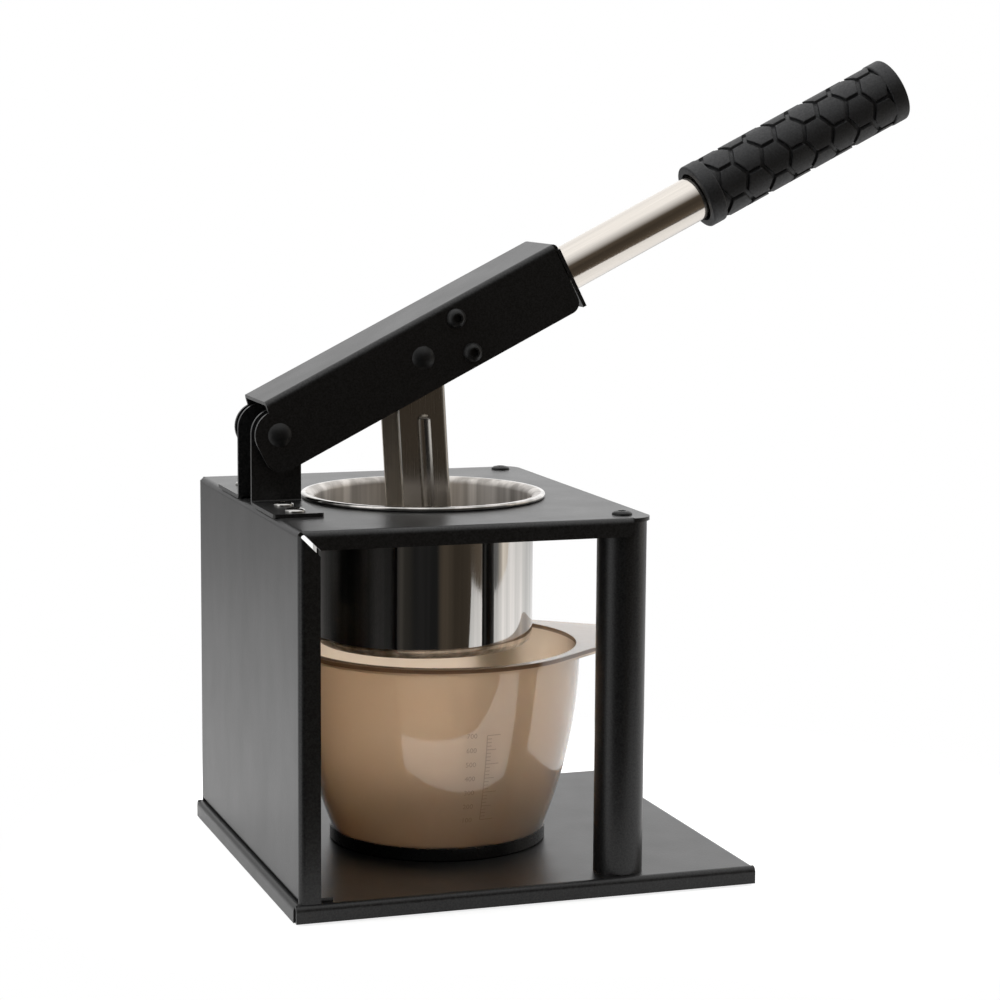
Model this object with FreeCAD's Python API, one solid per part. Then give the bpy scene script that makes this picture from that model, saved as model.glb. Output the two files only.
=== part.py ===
import FreeCAD, Part
import math
import os

V = FreeCAD.Vector
X_AXIS = V(1, 0, 0)
Y_AXIS = V(0, 1, 0)
Z_AXIS = V(0, 0, 1)

# Lever citrus juicer. Millimetres, X right along the lever, Y to the back, Z up.
# Everything is placed about the press axis and at the end moved so that the
# middle of the whole press, on the table, is the origin.

# Frame sheet
SHEET = 2.0
BEND = 3.2                      # outer radius of a fold
BASE_LEFT = -101.0
BASE_RIGHT = 149.0
BASE_DEPTH = 228.0
BASE_LIP = 9.0                  # height of the folded edge
FOOT_PROUD = 1.0                # how far the rubber feet stand out below the lip
CORNER_GAP = 0.8                # where two folded edges meet
CORNER_SLOT = 0.3               # from a side lip's end to the front lip's fold
SHELL_INSET = 3.0               # wall from the left edge of the base
SHELL_MARGIN = 2.0              # from the base's front and back edges
SHELL_HEIGHT = 187.5            # top plate's upper face above the base
TOP_LENGTH = 188.0              # of the top plate, from the wall
TOP_CORNER = 12.0
TOP_LIP = 9.5
WALL_LIP = 11.0
MITRE_GAP = 1.1
WALL_FOOT = 18.0
WALL_SCREW_REACH = 11.0         # from the wall to the row of screws in its foot
WALL_SCREW_INSET = 52.0         # from the shell's edge to the row's end

# Feet
FOOT_RADIUS = 11.0
FOOT_SOLE = 10.4                # radius where a foot stands on the table
FOOT_INSET = 22.0

# Posts
POST_INSET = 13.0               # from the top plate's right edge to the post's axis
POST_GAP = 0.4                  # between a post and the shell's lip
POST_RADIUS = 12.8
POST_WALL = 2.0
PLUG_LENGTH = 18.0
POST_GRIP = 14.0                # how far a post screw goes into its plug

# Fasteners, M6
SCREW_RADIUS = 3.0
SCREW_HOLE = 3.3
SCREW_POINT = 0.6
SCREW_END = 1.5                 # how far a screw stands out of its nut
HEAD_RADIUS = 5.25
HEAD_HEIGHT = 3.3
HEAD_RIM = 0.7
HEAD_FLAT = 2.9
HEAD_SWELL = 0.35
SOCKET_FLATS = 4.0
SOCKET_DEPTH = 2.0
NUT_FLATS = 10.0
NUT_HEIGHT = 5.0
NUT_CORNER = 0.5

# Brackets
PIVOT_X = -85.0
PIVOT_HEIGHT = 37.7             # above the top plate
EAR_RADIUS = 13.3
EAR_OUTER = 15.8
BRACKET_REACH = 63.0
BRACKET_SCREWS = (30.5, 54.7)
BRACKET_CORNER = 2.0

# Lever channel, in its own frame: the pivot is the origin, X runs along it
LEVER_ANGLE = 27.0
CHANNEL_WIDTH = 47.2
CHANNEL_TOP = 18.8
CHANNEL_BOTTOM = -19.0
CHANNEL_FRONT = 177.4
CHANNEL_WEB_START = 1.0
NOSE_RADIUS = 13.0
REAR_CORNER = 9.5
FRONT_CORNER = 6.0
CAP_GAP = 0.6
CAP_SIDE = 0.3

# Pins
PIN_RADIUS = 4.0
PIN_HEAD_RADIUS = 6.25
PIN_HEAD_HEIGHT = 2.6
PIN_RUNNING = 0.06              # radial clearance where a hole turns on a pin
SPACER_GAP = 0.2                # between a spacer and what turns against it
SPACER_RADIUS = 8.0
STEM_PIN_ALONG = 86.7
STEM_PIN_ABOVE = -1.0

# Socket block, tube and grip
SOCKET_START = 102.5
SOCKET_END = 138.0
SOCKET_TOP = 14.6
SOCKET_BOTTOM = -15.4
BOLT_ALONG = 112.0
BOLT_SPREAD = 10.2
TUBE_RADIUS = 12.5
TUBE_WALL = 1.5
TUBE_DEPTH = 14.0               # how far it sits in the socket block
TUBE_HOLE_PLAY = 0.15
TUBE_ABOVE = -1.0               # the tube's axis, above the pivot
GRIP_START = 270.2
GRIP_LENGTH = 131.6
GRIP_CORE = 16.0
PAD_HEIGHT = 1.8
GRIP_RING = 18.2
GRIP_RING_LENGTH = 9.0
GRIP_END = 3.0
GRIP_EDGE = 1.0
GRIP_MOUTH = 1.6
GRIP_MOUTH_DEPTH = 5.0
PAD_ROWS = 6                    # hexagons around the grip
PAD_GROOVE = 3.0
PAD_PITCH = 28.3
PAD_FIRST = 17.3
PAD_TURN = 25.5

# Press stem, in its own frame: the stem pin is the origin and Z runs down
STEM_LEAN = 3.5
STEM_WIDTH = 26.5
STEM_DEPTH = 35.4
STEM_SHEET = 1.5
STEM_BEND = 3.0
STEM_WEB_START = 2.0
BEAD_START = 34.0
BEAD_END_GAP = 12.0
BEAD_RADIUS = 4.5
BEAD_OUT = 2.5                  # the bead's centre, outside the face
STEM_REACH = 105.0              # from the pin to the underside of the disc

# Press disc
DISC_RADIUS = 49.0
DISC_SHEET = 1.5
DISC_WALL = 8.0
DISC_CORNER = 5.0
DISC_BEAD = 28.0
DISC_BEAD_HALF = 4.0
DISC_BEAD_DEPTH = 1.5

# Strainer cup
CUP_RADIUS = 59.3
CUP_SHEET = 1.0
CUP_DEPTH = 78.8                # below the top plate's upper face
CUP_CORNER = 6.0
CUP_RIM_RADIUS = 65.8
CUP_RIM_LIFT = 0.1              # above the top plate
CUP_HOLE_PLAY = 0.7
DRAIN_RADIUS = 2.0
DRAIN_PITCH = 12.0
DRAIN_RINGS = 4

# Measuring jug
JUG_X = 8.7
JUG_HEIGHT = 107.5
JUG_WALL = 2.0
JUG_TOP_RADIUS = 77.2
JUG_SIDE_ARC = 272.0
JUG_RIM_RADIUS = 79.7
JUG_RIM_DROP = 3.4
JUG_FLOOR = 3.0
JUG_STEP = 2.0                  # of the wall above the base ring
LIP_CENTRE = 106.0              # of the round tip, from the jug's axis
LIP_TIP = 14.0
LIP_SHEET = 2.0
RIM_SHEET = 1.5
SPOUT_REACH = 86.0
SPOUT_RADIUS = 17.0
SPOUT_FOOT = 3.0
SPOUT_DROP = 26.0
RING_RADIUS = 58.8
RING_WALL = 4.5
RING_HEIGHT = 7.0
RING_FOOT = 2.0
RING_INSIDE = 40.0
RING_EDGE = 0.8

BASE_TOP = FOOT_PROUD + BASE_LIP
TOP = BASE_TOP + SHELL_HEIGHT
WALL_X = BASE_LEFT + SHELL_INSET
TOP_END = WALL_X + TOP_LENGTH
SHELL_DEPTH = BASE_DEPTH - 2 * SHELL_MARGIN
POST_X = TOP_END - POST_INSET
POST_Y = SHELL_DEPTH / 2 - SHEET - POST_GAP - POST_RADIUS
JUG_TOP = BASE_TOP + JUG_HEIGHT
PIVOT = V(PIVOT_X, 0, TOP + PIVOT_HEIGHT)
CHANNEL_INSIDE = CHANNEL_WIDTH / 2 - SHEET
HEXAGON = math.sqrt(3)          # a hexagon's width across flats over its side


def box(low, high):
    return Part.makeBox(high[0] - low[0], high[1] - low[1], high[2] - low[2], V(*low))


def cylinder(radius, start, along, length):
    return Part.makeCylinder(radius, length, V(*start), along)


def ring(outer, inner, start, along, length):
    return cylinder(outer, start, along, length).cut(cylinder(inner, start, along, length))


def joined(shapes):
    return shapes[0].fuse(shapes[1:]).removeSplitter()


def mirrored(shape):
    """The same piece on the other side of the middle plane, front to back."""
    return shape.mirror(V(0, 0, 0), Y_AXIS)


def both_sides(shape):
    return [shape, mirrored(shape)]


def direction(start, end):
    length = math.hypot(end[0] - start[0], end[1] - start[1])
    return (end[0] - start[0]) / length, (end[1] - start[1]) / length


def offset(point, along, distance):
    """A point moved to the left of a direction."""
    return point[0] - along[1] * distance, point[1] + along[0] * distance


class Outline:
    """A closed outline of straight runs and arcs, drawn in a plane."""

    def __init__(self, place, start):
        self.place = place
        self.start = start
        self.here = start
        self.edges = []

    def line(self, *points):
        for point in points:
            ends = self.place(*self.here), self.place(*point)
            if ends[0].distanceToPoint(ends[1]) > 1e-6:
                self.edges.append(Part.LineSegment(*ends).toShape())
            self.here = point
        return self

    def arc(self, middle, end):
        arc = Part.Arc(self.place(*self.here), self.place(*middle), self.place(*end))
        self.edges.append(arc.toShape())
        self.here = end
        return self

    def turn(self, centre, degrees):
        """An arc about a centre from here, anticlockwise when degrees are positive."""
        across, up = self.here[0] - centre[0], self.here[1] - centre[1]
        ends = []
        for part in (0.5, 1.0):
            angle = math.radians(degrees) * part
            ends.append((centre[0] + across * math.cos(angle) - up * math.sin(angle),
                         centre[1] + across * math.sin(angle) + up * math.cos(angle)))
        return self.arc(*ends)

    def face(self):
        self.line(self.start)
        return Part.Face(Part.Wire(self.edges))

    def turned(self):
        """The solid of revolution about Z."""
        return self.face().revolve(V(0, 0, 0), Z_AXIS, 360)


def in_xz(y=0.0):
    return lambda a, b: V(a, y, b)


def in_xy(z=0.0):
    return lambda a, b: V(a, b, z)


def in_yz(x=0.0):
    return lambda a, b: V(x, a, b)


def folded(place, path, sheet, bend):
    """The section of a folded sheet on the left of a path whose turns all go left."""
    corners = []
    for before, corner, after in zip(path, path[1:], path[2:]):
        along = direction(before, corner)
        start = corner[0] - along[0] * bend, corner[1] - along[1] * bend
        corners.append((start, offset(start, along, bend), direction(corner, after)))
    section = Outline(place, path[0])
    for start, centre, after in corners:
        section.line(start).turn(centre, 90)
    section.line(path[-1], offset(path[-1], direction(path[-2], path[-1]), sheet))
    for start, centre, after in reversed(corners):
        section.line(offset(centre, after, sheet - bend)).turn(centre, -90)
    section.line(offset(path[0], direction(path[0], path[1]), sheet))
    return section.face()


def hexagon(flats, height):
    corner = flats / HEXAGON
    angles = [math.radians(60 * i) for i in range(6)]
    points = [(corner * math.cos(a), corner * math.sin(a)) for a in angles]
    return Outline(in_xy(), points[0]).line(*points[1:]).face().extrude(V(0, 0, height))


def dome(radius, height):
    """A low round head on the plane z = 0."""
    sphere = (radius ** 2 + height ** 2) / (2 * height)
    half = math.asin(radius / sphere) / 2
    middle = sphere * math.sin(half), sphere * math.cos(half) + height - sphere
    profile = Outline(in_xz(), (0, 0)).line((radius, 0)).arc(middle, (0, height))
    return profile.turned()


def aimed(shape, at, along):
    """A piece made along Z, moved so that it points another way from a point."""
    placed = shape.copy()
    placed.Placement = FreeCAD.Placement(V(*at), FreeCAD.Rotation(Z_AXIS, along))
    return placed


def screw(at, along, length):
    """A button head screw: the head rests on a point and the shank runs the other way."""
    rim, flat = (HEAD_RADIUS, HEAD_RIM), (HEAD_FLAT, HEAD_HEIGHT)
    middle = offset(((rim[0] + flat[0]) / 2, (rim[1] + flat[1]) / 2), direction(rim, flat), -HEAD_SWELL)
    profile = Outline(in_xz(), (0, 0)).line((HEAD_RADIUS, 0), rim).arc(middle, flat)
    head = profile.line((0, HEAD_HEIGHT)).turned()
    socket = hexagon(SOCKET_FLATS, SOCKET_DEPTH)
    socket.translate(V(0, 0, HEAD_HEIGHT - SOCKET_DEPTH))
    shank = Outline(in_xz(), (0, 0)).line((SCREW_RADIUS, 0), (SCREW_RADIUS, SCREW_POINT - length))
    shank = shank.line((SCREW_RADIUS - SCREW_POINT, -length), (0, -length)).turned()
    return aimed(joined([head.cut(socket), shank]), at, along)


def nut(at, along):
    """A hexagon nut that stands on a point."""
    corner = NUT_FLATS / HEXAGON
    profile = Outline(in_xz(), (0, 0)).line(
        (NUT_FLATS / 2, 0), (corner, NUT_CORNER), (corner, NUT_HEIGHT - NUT_CORNER),
        (NUT_FLATS / 2, NUT_HEIGHT), (0, NUT_HEIGHT))
    blank = hexagon(NUT_FLATS, NUT_HEIGHT).common(profile.turned())
    return aimed(blank.cut(cylinder(SCREW_RADIUS, (0, 0, 0), Z_AXIS, NUT_HEIGHT)), at, along)


def drilled(shape, radius, points, along, length):
    return shape.cut([cylinder(radius, point, along, length) for point in points])


# Frame


def post_points(z):
    return [(POST_X, side * POST_Y, z) for side in (-1, 1)]


def wall_points(z):
    reach = SHELL_DEPTH / 2 - WALL_SCREW_INSET
    return [(WALL_X + WALL_SCREW_REACH, y, z) for y in (-reach, 0, reach)]


def bracket_points(z):
    return [(PIVOT_X, side * y, z) for side in (-1, 1) for y in BRACKET_SCREWS]


def base_plate():
    half = BASE_DEPTH / 2
    inner = half - BEND
    low = BASE_LEFT + BEND, -inner, BASE_TOP - SHEET
    flat = box(low, (BASE_RIGHT - BEND, inner, BASE_TOP))
    front = [(-inner, BASE_TOP), (-half, BASE_TOP), (-half, FOOT_PROUD)]
    front = folded(in_yz(BASE_LEFT + CORNER_GAP), front, SHEET, BEND)
    front = front.extrude(V(BASE_RIGHT - BASE_LEFT - 2 * CORNER_GAP, 0, 0))
    left = [(BASE_LEFT + BEND, BASE_TOP), (BASE_LEFT, BASE_TOP), (BASE_LEFT, FOOT_PROUD)]
    left = folded(in_xz(CORNER_SLOT - inner), left, SHEET, BEND)
    left = left.extrude(V(0, 2 * (inner - CORNER_SLOT), 0))
    right = left.mirror(V((BASE_LEFT + BASE_RIGHT) / 2, 0, 0), X_AXIS)
    plate = joined([flat, left, right] + both_sides(front))
    holes = post_points(0) + wall_points(0)
    return drilled(plate, SCREW_HOLE, holes, Z_AXIS, BASE_TOP)


def rubber_feet():
    feet = []
    for x in (BASE_LEFT + FOOT_INSET, BASE_RIGHT - FOOT_INSET):
        for y in (FOOT_INSET - BASE_DEPTH / 2, BASE_DEPTH / 2 - FOOT_INSET):
            feet.append(Part.makeCone(FOOT_SOLE, FOOT_RADIUS, BASE_TOP - SHEET, V(x, y, 0), Z_AXIS))
    return Part.makeCompound(feet)


def mitre(apart, far):
    """The side of the diagonal through the upper left corner that a lip leaves free."""
    shift = math.hypot(MITRE_GAP, MITRE_GAP) * apart
    start = WALL_X - far, TOP + far + shift
    end = WALL_X + far, TOP - far + shift
    beyond = (WALL_X - far, TOP - far + shift) if apart > 0 else (WALL_X + far, TOP + far + shift)
    face = Outline(in_xz(-BASE_DEPTH / 2), start).line(end, beyond).face()
    return face.extrude(V(0, BASE_DEPTH / 2, 0))


def body_shell():
    half = SHELL_DEPTH / 2
    inner = half - BEND
    flat_end = TOP_END - TOP_CORNER
    path = [(flat_end, TOP), (WALL_X, TOP), (WALL_X, BASE_TOP), (WALL_X + WALL_FOOT, BASE_TOP)]
    main = folded(in_xz(-inner), path, SHEET, BEND).extrude(V(0, 2 * inner, 0))
    end = Outline(in_xy(TOP - SHEET), (flat_end, -half)).turn((flat_end, TOP_CORNER - half), 90)
    end = end.line((TOP_END, half - TOP_CORNER)).turn((flat_end, half - TOP_CORNER), 90)
    end = end.face().extrude(V(0, 0, SHEET))
    path = [(WALL_X, -inner), (WALL_X, -half), (WALL_X + WALL_LIP, -half)]
    wall_lip = folded(in_xy(BASE_TOP), path, SHEET, BEND).extrude(V(0, 0, SHELL_HEIGHT))
    path = [(-inner, TOP), (-half, TOP), (-half, TOP - TOP_LIP)]
    top_lip = folded(in_yz(WALL_X), path, SHEET, BEND).extrude(V(flat_end - WALL_X, 0, 0))
    lips = both_sides(wall_lip.cut(mitre(-1, 2 * WALL_LIP)))
    lips += both_sides(top_lip.cut(mitre(1, 2 * WALL_LIP)))
    shell = joined([main, end] + lips)
    shell = shell.cut(cylinder(CUP_RADIUS + CUP_HOLE_PLAY, (0, 0, TOP - SHEET), Z_AXIS, SHEET))
    upper = post_points(TOP - SHEET) + bracket_points(TOP - SHEET)
    return drilled(shell, SCREW_HOLE, upper + wall_points(BASE_TOP), Z_AXIS, SHEET)


def post(side):
    height = TOP - SHEET - BASE_TOP
    return ring(POST_RADIUS, POST_RADIUS - POST_WALL, (POST_X, side * POST_Y, BASE_TOP), Z_AXIS, height)


def post_plugs():
    inside = POST_RADIUS - POST_WALL
    starts = post_points(BASE_TOP) + post_points(TOP - SHEET - PLUG_LENGTH)
    return Part.makeCompound([ring(inside, SCREW_RADIUS, at, Z_AXIS, PLUG_LENGTH) for at in starts])


def post_top_screws():
    return Part.makeCompound([screw(at, Z_AXIS, SHEET + POST_GRIP) for at in post_points(TOP)])


def post_bottom_screws():
    starts = post_points(BASE_TOP - SHEET)
    return Part.makeCompound([screw(at, -Z_AXIS, SHEET + POST_GRIP) for at in starts])


def wall_screws():
    length = 2 * SHEET + NUT_HEIGHT + SCREW_END
    return Part.makeCompound([screw(at, Z_AXIS, length) for at in wall_points(BASE_TOP + SHEET)])


def wall_nuts():
    return Part.makeCompound([nut(at, -Z_AXIS) for at in wall_points(BASE_TOP - SHEET)])


def bracket():
    """The front bracket: a foot on the top plate and an ear that stands up to the pivot."""
    inside = EAR_OUTER - SHEET
    path = [(-BRACKET_REACH, TOP), (-inside, TOP), (-inside, PIVOT.z + EAR_RADIUS)]
    plate = folded(in_yz(PIVOT_X - EAR_RADIUS), path, SHEET, BEND).extrude(V(2 * EAR_RADIUS, 0, 0))
    corners = [edge for edge in plate.Edges
               if abs(edge.CenterOfMass.y + BRACKET_REACH) < 0.01 and abs(edge.Length - SHEET) < 0.01]
    plate = plate.makeFillet(BRACKET_CORNER, corners)
    start = PIVOT_X - EAR_RADIUS, -EAR_OUTER, PIVOT.z
    above = box(start, (PIVOT_X + EAR_RADIUS, -inside, PIVOT.z + EAR_RADIUS))
    centre = PIVOT_X, -EAR_OUTER, PIVOT.z
    plate = plate.cut(above.cut(cylinder(EAR_RADIUS, centre, Y_AXIS, SHEET)))
    plate = drilled(plate, PIN_RADIUS + PIN_RUNNING, [centre], Y_AXIS, SHEET)
    return drilled(plate, SCREW_HOLE, bracket_points(TOP)[:2], Z_AXIS, SHEET)


def bracket_screws():
    length = 2 * SHEET + NUT_HEIGHT + SCREW_END
    return Part.makeCompound([screw(at, Z_AXIS, length) for at in bracket_points(TOP + SHEET)])


def bracket_nuts():
    return Part.makeCompound([nut(at, -Z_AXIS) for at in bracket_points(TOP - SHEET)])


# Lever, in its own frame


def bolt_points(y):
    return [(BOLT_ALONG, y, TUBE_ABOVE + side * BOLT_SPREAD) for side in (-1, 1)]


def lever_channel():
    half = CHANNEL_WIDTH / 2
    path = [(half, CHANNEL_BOTTOM), (half, CHANNEL_TOP), (-half, CHANNEL_TOP), (-half, CHANNEL_BOTTOM)]
    length = CHANNEL_FRONT + NOSE_RADIUS
    channel = folded(in_yz(-NOSE_RADIUS), path, SHEET, BEND).extrude(V(length, 0, 0))
    side = Outline(in_xz(-half), (CHANNEL_WEB_START, CHANNEL_TOP)).line((0, NOSE_RADIUS))
    side.turn((0, 0), 90).line((-NOSE_RADIUS, CHANNEL_BOTTOM + REAR_CORNER))
    side.turn((REAR_CORNER - NOSE_RADIUS, CHANNEL_BOTTOM + REAR_CORNER), 90)
    side.line((CHANNEL_FRONT - FRONT_CORNER, CHANNEL_BOTTOM))
    side.turn((CHANNEL_FRONT - FRONT_CORNER, CHANNEL_BOTTOM + FRONT_CORNER), 90)
    side.line((CHANNEL_FRONT, CHANNEL_TOP))
    channel = channel.common(side.face().extrude(V(0, CHANNEL_WIDTH, 0)))
    front = CHANNEL_FRONT + CAP_GAP + SHEET
    shoulder = CHANNEL_TOP - BEND - CAP_GAP
    neck = half - BEND
    path = [(front, CHANNEL_BOTTOM), (front, CHANNEL_TOP), (CHANNEL_FRONT - BEND, CHANNEL_TOP)]
    cap = folded(in_xz(-neck), path, SHEET, BEND).extrude(V(0, 2 * neck, 0))
    wide = half - CAP_SIDE
    tab = box((front - SHEET, -wide, CHANNEL_BOTTOM), (front, wide, shoulder))
    whole = joined([channel, cap, tab])
    tube = cylinder(TUBE_RADIUS + TUBE_HOLE_PLAY, (front - SHEET, 0, TUBE_ABOVE), X_AXIS, SHEET)
    pins = [(0, -half, 0), (STEM_PIN_ALONG, -half, STEM_PIN_ABOVE)]
    whole = drilled(whole.cut(tube), PIN_RADIUS, pins, Y_AXIS, CHANNEL_WIDTH)
    return drilled(whole, SCREW_HOLE, bolt_points(-half), Y_AXIS, CHANNEL_WIDTH)


def pin(along, above):
    half = CHANNEL_WIDTH / 2
    head = dome(PIN_HEAD_RADIUS, PIN_HEAD_HEIGHT)
    near = aimed(head, (along, -half, above), -Y_AXIS)
    shank = cylinder(PIN_RADIUS, (along, -half, above), Y_AXIS, CHANNEL_WIDTH)
    return joined([shank] + both_sides(near))


def spacers(along, above, turning):
    """Two rings from the channel's sides to just short of what turns between them."""
    start = turning + SPACER_GAP
    one = ring(SPACER_RADIUS, PIN_RADIUS, (along, start, above), Y_AXIS, CHANNEL_INSIDE - start)
    return Part.makeCompound(both_sides(one))


def tube_socket():
    low = SOCKET_START, -CHANNEL_INSIDE, SOCKET_BOTTOM
    block = box(low, (SOCKET_END, CHANNEL_INSIDE, SOCKET_TOP))
    mouth = SOCKET_END - TUBE_DEPTH, 0, TUBE_ABOVE
    block = block.cut(cylinder(TUBE_RADIUS, mouth, X_AXIS, TUBE_DEPTH))
    return drilled(block, SCREW_RADIUS, bolt_points(-CHANNEL_INSIDE), Y_AXIS, 2 * CHANNEL_INSIDE)


def handle_bolts():
    length = CHANNEL_WIDTH + NUT_HEIGHT + SCREW_END
    starts = bolt_points(-CHANNEL_WIDTH / 2)
    return Part.makeCompound([screw(at, -Y_AXIS, length) for at in starts])


def handle_nuts():
    return Part.makeCompound([nut(at, Y_AXIS) for at in bolt_points(CHANNEL_WIDTH / 2)])


def handle_tube():
    start = SOCKET_END - TUBE_DEPTH
    end = GRIP_START + GRIP_LENGTH - GRIP_END
    return ring(TUBE_RADIUS, TUBE_RADIUS - TUBE_WALL, (start, 0, TUBE_ABOVE), X_AXIS, end - start)


def grip_pads(top):
    """The hexagon pads, each cut from a thin sleeve around the grip."""
    across = 2 * math.pi * top / PAD_ROWS
    shrink = 1 - PAD_GROOVE / across
    long, wide = PAD_PITCH / 3 * shrink, across / 2 * shrink
    low, high = GRIP_RING_LENGTH / 2, GRIP_LENGTH - GRIP_RING_LENGTH / 2
    sleeve = ring(top, GRIP_CORE - PAD_HEIGHT / 2, (low, 0, 0), X_AXIS, high - low)
    pads = []
    for step in range(-1, 2 * int(GRIP_LENGTH / PAD_PITCH) + 1):
        centre = PAD_FIRST + step * PAD_PITCH / 2
        if centre + long < GRIP_RING_LENGTH or centre - long > GRIP_LENGTH - GRIP_RING_LENGTH:
            continue
        points = [(centre + long, 0), (centre + long / 2, wide), (centre - long / 2, wide),
                  (centre - long, 0), (centre - long / 2, -wide), (centre + long / 2, -wide)]
        pad = Outline(in_xy(), points[0]).line(*points[1:]).face().extrude(V(0, 0, 2 * top))
        pad = pad.common(sleeve)
        for place in range(PAD_ROWS):
            turned = pad.copy()
            turned.rotate(V(0, 0, 0), X_AXIS, PAD_TURN + (place + step % 2 / 2) * 360 / PAD_ROWS)
            pads.append(turned)
    return pads


def handle_grip():
    flat, edge, mouth = GRIP_RING - GRIP_EDGE, GRIP_EDGE, TUBE_RADIUS + GRIP_MOUTH
    first, last = GRIP_RING_LENGTH, GRIP_LENGTH - GRIP_RING_LENGTH
    profile = Outline(in_xz(), (mouth, 0)).line((flat, 0)).turn((flat, edge), 90)
    profile.line((GRIP_RING, first - edge)).turn((flat, first - edge), 90)
    profile.line((GRIP_CORE, first), (GRIP_CORE, last), (flat, last)).turn((flat, last + edge), 90)
    profile.line((GRIP_RING, GRIP_LENGTH - edge)).turn((flat, GRIP_LENGTH - edge), 90)
    profile.line((0, GRIP_LENGTH), (0, GRIP_LENGTH - GRIP_END), (TUBE_RADIUS, GRIP_LENGTH - GRIP_END),
                 (TUBE_RADIUS, GRIP_MOUTH_DEPTH), (mouth, GRIP_MOUTH_DEPTH))
    core = aimed(profile.turned(), (0, 0, 0), X_AXIS)
    grip = core.fuse(grip_pads(GRIP_CORE + PAD_HEIGHT))
    grip.translate(V(GRIP_START, 0, TUBE_ABOVE))
    return grip


# Stem and disc, in the stem's own frame


def bead(radius, side):
    y = side * (STEM_DEPTH / 2 + BEAD_OUT)
    top, bottom = -BEAD_START, BEAD_END_GAP + DISC_SHEET - STEM_REACH
    run = cylinder(radius, (0, y, bottom), Z_AXIS, top - bottom)
    return joined([run, Part.makeSphere(radius, V(0, y, top)), Part.makeSphere(radius, V(0, y, bottom))])


def pusher_stem():
    wide, deep = STEM_WIDTH / 2, STEM_DEPTH / 2
    bottom = DISC_SHEET - STEM_REACH
    path = [(-wide, -deep), (wide, -deep), (wide, deep), (-wide, deep)]
    channel = folded(in_xy(bottom), path, STEM_SHEET, STEM_BEND)
    channel = channel.extrude(V(0, 0, -STEM_WEB_START - bottom))
    ear = Outline(in_xz(-deep), (wide, -STEM_WEB_START)).line((wide, 0)).turn((0, 0), 180)
    ear = ear.line((-wide, -STEM_WEB_START)).face().extrude(V(0, STEM_SHEET, 0))
    stem = joined([channel] + both_sides(ear))
    inside = box((-wide, STEM_SHEET - deep, bottom), (wide, deep - STEM_SHEET, 0))
    ridges = [bead(BEAD_RADIUS + STEM_SHEET, side).common(inside) for side in (-1, 1)]
    stem = joined([stem] + ridges).cut([bead(BEAD_RADIUS, side) for side in (-1, 1)])
    return drilled(stem, PIN_RADIUS + PIN_RUNNING, [(0, -deep, 0)], Y_AXIS, STEM_DEPTH)


def pusher_disc():
    low, high = -STEM_REACH, DISC_SHEET - STEM_REACH
    rise, slope = DISC_BEAD_DEPTH, DISC_BEAD_HALF - DISC_BEAD_DEPTH
    inside, corner = DISC_RADIUS - DISC_SHEET, DISC_RADIUS - DISC_CORNER
    bead_in, bead_out = DISC_BEAD - DISC_BEAD_HALF, DISC_BEAD + DISC_BEAD_HALF
    profile = Outline(in_xz(), (0, low)).line(
        (bead_in, low), (DISC_BEAD - slope, low + rise), (DISC_BEAD + slope, low + rise),
        (bead_out, low), (corner, low)).turn((corner, low + DISC_CORNER), 90)
    profile.line((DISC_RADIUS, low + DISC_WALL), (inside, low + DISC_WALL), (inside, low + DISC_CORNER))
    profile.turn((corner, low + DISC_CORNER), -90).line(
        (bead_out, high), (DISC_BEAD + slope, high + rise), (DISC_BEAD - slope, high + rise),
        (bead_in, high), (0, high))
    return profile.turned()


# Strainer cup and jug


def strainer_cup():
    inside = CUP_RADIUS - CUP_SHEET
    bottom, lift = TOP - CUP_DEPTH, TOP + CUP_RIM_LIFT
    roll = (inside + CUP_RIM_RADIUS) / 2, lift
    corner = CUP_RADIUS - CUP_CORNER, bottom + CUP_CORNER
    profile = Outline(in_xz(), (0, bottom)).line((corner[0], bottom)).turn(corner, 90)
    profile.line((CUP_RADIUS, lift)).turn(roll, -180).line((CUP_RIM_RADIUS, lift)).turn(roll, 180)
    profile.line((inside, corner[1])).turn(corner, -90).line((0, bottom + CUP_SHEET))
    cup = profile.turned()
    holes = [(0, 0, bottom)]
    for row in range(1, DRAIN_RINGS + 1):
        for place in range(6 * row):
            angle = math.radians(60 * place / row)
            reach = row * DRAIN_PITCH
            holes.append((reach * math.cos(angle), reach * math.sin(angle), bottom))
    return drilled(cup, DRAIN_RADIUS, holes, Z_AXIS, CUP_SHEET)


def jug_side(inset, height):
    """The radius of the jug's outside at a height above the table, less an inset."""
    drop = JUG_TOP - height
    return JUG_TOP_RADIUS - JUG_SIDE_ARC + math.sqrt((JUG_SIDE_ARC - inset) ** 2 - drop ** 2)


def jug_plan(inset):
    """The rim seen from above, drawn in: its circle, the spout and the handle lip."""
    rim, tip = JUG_RIM_RADIUS - inset, LIP_TIP - inset
    angle = math.acos((rim - tip) / LIP_CENTRE)
    x, y = math.cos(angle), math.sin(angle)
    lip = Outline(in_xy(), (0, -rim)).line((rim * x, -rim * y), (LIP_CENTRE + tip * x, -tip * y))
    lip = lip.turn((LIP_CENTRE, 0), 2 * math.degrees(angle)).line((rim * x, rim * y), (0, rim))
    spout = SPOUT_RADIUS + JUG_RIM_RADIUS - JUG_TOP_RADIUS - inset
    return [lip.face(), Part.Face(Part.Wire(Part.makeCircle(rim))),
            Part.Face(Part.Wire(Part.makeCircle(spout, V(SPOUT_RADIUS - SPOUT_REACH, 0, 0))))]


def jug_slab(inset, low, high):
    slabs = [face.extrude(V(0, 0, high - low)) for face in jug_plan(inset)]
    slab = slabs[0].fuse(slabs[1:])
    slab.translate(V(0, 0, low))
    return slab


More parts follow.
